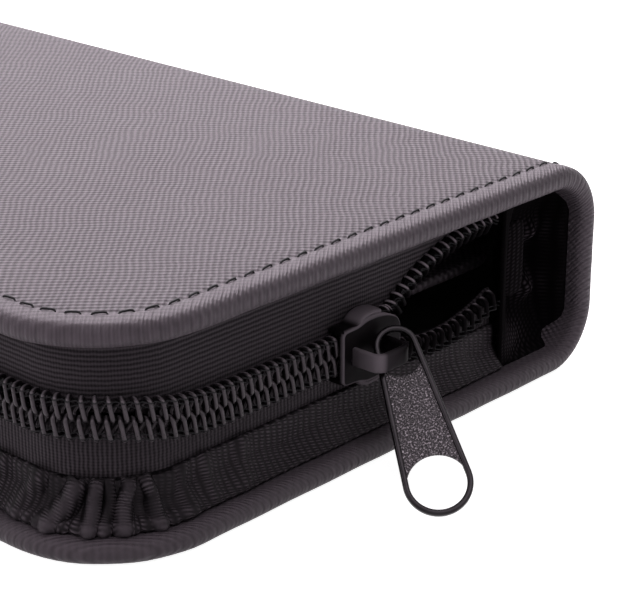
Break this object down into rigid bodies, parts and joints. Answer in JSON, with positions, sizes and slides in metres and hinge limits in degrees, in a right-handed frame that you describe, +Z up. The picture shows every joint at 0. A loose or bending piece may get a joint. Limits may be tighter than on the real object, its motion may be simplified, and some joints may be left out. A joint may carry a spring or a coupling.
{
  "type": "zip-around fountain pen case",
  "caption": "Slim padded zip-around case in cross-grained leather, open part of the way along one end, for fountain pens held in elastic loops.",
  "frame": {"origin": "middle of the back cover's underside, on the surface that the closed case lies on", "axes": "+X from the fore-edge to the spine, +Y along the spine from the end with the slider to the other end, +Z up through the closed case"},
  "size_m": [0.096, 0.1959, 0.031],
  "materials": {
    "cover_leather": "cross-grained, semi-matt",
    "gusset_leather": "cross-grained, soft",
    "board": "grey board",
    "lining": "woven lining",
    "elastic": "ribbed elastic",
    "tape": "woven zip tape",
    "coil": "nylon coil",
    "slider_metal": "black, semi-gloss",
    "tab_metal": "gunmetal, sandy field and smooth rim"
  },
  "bodies": {
    "back": {"back_skin": "cover_leather", "back_board": "board", "back_lining": "lining", "back_band_near": "elastic", "back_band_far": "elastic", "lower_gusset": "gusset_leather", "lower_tape": "tape", "lower_coil": "coil", "lower_open_tape": "tape", "lower_open_coil": "coil"},
    "spine": {"spine_skin": "cover_leather", "spine_board": "board", "spine_lining": "lining", "near_end_gusset": "gusset_leather", "far_end_gusset": "gusset_leather", "near_zip_end": "tape", "far_zip_end": "tape", "page_hinge": "lining"},
    "front": {"front_skin": "cover_leather", "front_board": "board", "front_lining": "lining", "front_band_near": "elastic", "front_band_far": "elastic", "upper_tape": "tape", "upper_coil": "coil", "upper_open_tape": "tape", "upper_open_coil": "coil"},
    "page": {"page": "lining"},
    "slider": {"slider": "slider_metal", "crown": "slider_metal"},
    "pull_tab": {"pull_tab": "tab_metal"}
  },
  "joints": [
    {"name": "spine_fold", "type": "hinge", "parent": "back", "child": "spine", "pos_m": [0.04536, 0, 0.00264], "axis": [0, 1, 0], "range_deg": [0, 90]},
    {"name": "cover_fold", "type": "hinge", "parent": "spine", "child": "front", "pos_m": [0.04536, 0, 0.02836], "axis": [0, 1, 0], "range_deg": [0, 90], "deforming": ["upper_tape", "upper_coil", "upper_open_tape", "upper_open_coil"]},
    {"name": "page_turn", "type": "hinge", "parent": "spine", "child": "page", "pos_m": [0.0421, 0, 0.0155], "axis": [0, 1, 0], "range_deg": [0, 45]},
    {"name": "slider_travel", "type": "slide", "parent": "back", "child": "slider", "axis": [1, 0, 0], "range_m": [-0.024, 0.021], "deforming": ["lower_tape", "lower_coil", "lower_open_tape", "lower_open_coil"]},
    {"name": "tab_swing", "type": "hinge", "parent": "slider", "child": "pull_tab", "pos_m": [0.0011, -0.08885, 0.0158], "axis": [0, 0, 1], "range_deg": [-51, 3]}
  ],
  "couplings": [
    {"joint": "page_turn", "follows": "cover_fold", "ratio": 0.5}
  ]
}
